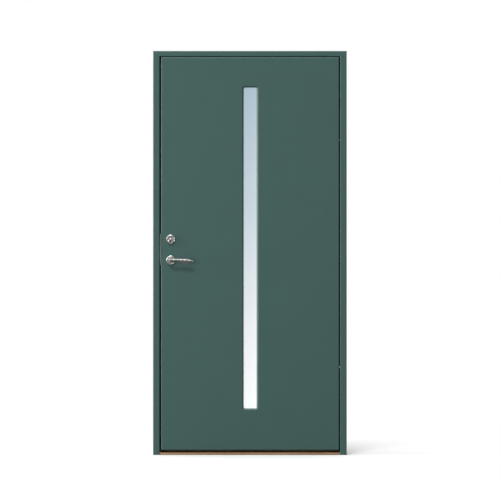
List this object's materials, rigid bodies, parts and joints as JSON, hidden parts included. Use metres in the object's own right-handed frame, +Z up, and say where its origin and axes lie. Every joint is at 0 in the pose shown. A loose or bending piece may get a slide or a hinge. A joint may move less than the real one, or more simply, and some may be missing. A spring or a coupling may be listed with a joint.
{
  "type": "front door with frame",
  "caption": "Flush green front door in its frame with a narrow frosted glass slot, lever, lock, concealed hinges and oak threshold.",
  "frame": {"origin": "middle of the threshold's underside, half way through the frame's depth", "axes": "+X to the right seen from outside (lock on the left, hinges on the right), +Y into the building, +Z up"},
  "size_m": [0.996, 0.17, 2.078],
  "materials": {
    "green_paint": "satin paint",
    "oiled_oak": "oiled",
    "raw_timber": "planed",
    "insulation": "raw",
    "black_rubber": "matte",
    "frosted_glass": "frosted",
    "dark_spacer": "matte",
    "satin_chrome": "satin",
    "plated_brass": "plated",
    "brushed_steel": "brushed",
    "zinc_steel": "zinc"
  },
  "bodies": {
    "frame": {"lock_jamb": "green_paint", "hinge_jamb": "green_paint", "head": "green_paint", "frame_stops": "green_paint", "threshold": "oiled_oak", "jamb_seals": "black_rubber", "head_seal": "black_rubber", "threshold_seal": "black_rubber", "strike_plate": "brushed_steel", "strike_screws": "zinc_steel", "fixing_sleeves": "zinc_steel", "corner_screws": "zinc_steel", "hinge_frame_cases": "zinc_steel", "hinge_frame_screws": "zinc_steel"},
    "hinge_link": {"hinge_links": "zinc_steel"},
    "lever_set": {"outer_lever": "satin_chrome", "inner_lever": "satin_chrome", "spindle": "zinc_steel", "follower": "zinc_steel", "grub_screws": "zinc_steel"},
    "latch": {"latch_bolt": "brushed_steel"},
    "key_turn": {"cylinder_plug": "plated_brass", "tailpiece": "zinc_steel", "bolt_cam": "zinc_steel", "thumb_turn": "satin_chrome"},
    "bolt": {"dead_bolt": "brushed_steel"},
    "leaf": {"outer_skin": "green_paint", "inner_skin": "green_paint", "lock_stile": "raw_timber", "hinge_stile": "raw_timber", "top_rail": "raw_timber", "bottom_rail": "raw_timber", "slot_post_lock": "raw_timber", "slot_post_hinge": "raw_timber", "slot_block_top": "raw_timber", "slot_block_bottom": "raw_timber", "core_lock": "insulation", "core_hinge": "insulation", "outer_pane": "frosted_glass", "middle_pane": "frosted_glass", "inner_pane": "frosted_glass", "spacers": "dark_spacer", "glazing_tapes": "black_rubber", "setting_blocks": "black_rubber", "inner_bead": "green_paint", "edge_guard": "brushed_steel", "edge_guard_screws": "zinc_steel", "lock_case": "zinc_steel", "lock_cover": "zinc_steel", "forend": "brushed_steel", "forend_screws": "zinc_steel", "outer_rose": "satin_chrome", "inner_rose": "satin_chrome", "rose_screws": "zinc_steel", "cylinder_ring": "satin_chrome", "cylinder_body": "plated_brass", "thumbturn_rose": "satin_chrome", "security_pins": "brushed_steel", "hinge_leaf_cases": "zinc_steel", "hinge_leaf_screws": "zinc_steel"}
  },
  "joints": [
    {"name": "leaf_swing", "type": "hinge", "parent": "frame", "child": "leaf", "pos_m": [0.4615, -0.05, 1.0355], "axis": [0, 0, 1], "range_deg": [0, 100]},
    {"name": "link_swing", "type": "hinge", "parent": "frame", "child": "hinge_link", "pos_m": [0.4615, -0.05, 1.0355], "axis": [0, 0, 1], "range_deg": [0, 50]},
    {"name": "lever_turn", "type": "hinge", "parent": "leaf", "child": "lever_set", "pos_m": [-0.4065, -0.0215, 1.001], "axis": [0, 1, 0], "range_deg": [0, 40], "stiffness_Nm_per_rad": 2, "springref_deg": -22.92},
    {"name": "latch_slide", "type": "slide", "parent": "leaf", "child": "latch", "axis": [1, 0, 0], "range_m": [0, 0.012]},
    {"name": "key_turn", "type": "hinge", "parent": "leaf", "child": "key_turn", "pos_m": [-0.4065, -0.0215, 1.098], "axis": [0, 1, 0], "range_deg": [0, 90]},
    {"name": "dead_bolt_slide", "type": "slide", "parent": "leaf", "child": "bolt", "axis": [-1, 0, 0], "range_m": [0, 0.02]}
  ],
  "couplings": [
    {"joint": "link_swing", "follows": "leaf_swing", "ratio": 0.5},
    {"joint": "latch_slide", "follows": "lever_turn", "m_per_rad": 0.01718},
    {"joint": "key_turn", "follows": "dead_bolt_slide", "rad_per_m": 78.53}
  ]
}
